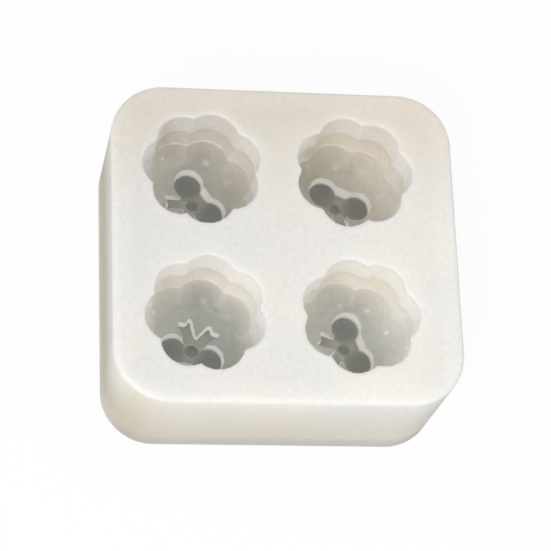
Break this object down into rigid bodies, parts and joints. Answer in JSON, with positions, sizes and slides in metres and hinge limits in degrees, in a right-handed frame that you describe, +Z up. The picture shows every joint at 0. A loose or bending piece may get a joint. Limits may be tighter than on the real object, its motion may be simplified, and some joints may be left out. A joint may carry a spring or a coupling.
{
  "type": "resin casting mould",
  "caption": "Rounded square block of translucent white silicone with open flower-shaped casting pockets in its top, a ribbon bow sunk into the floor of each.",
  "frame": {"origin": "middle of the underside", "axes": "+X along the width, +Y towards the back, +Z up out of the pockets"},
  "size_m": [0.07, 0.067, 0.03],
  "materials": {
    "silicone": "translucent milky white silicone, satin, softly clouded"
  },
  "bodies": {
    "root": {"silicone_mould": "silicone"}
  },
  "joints": []
}
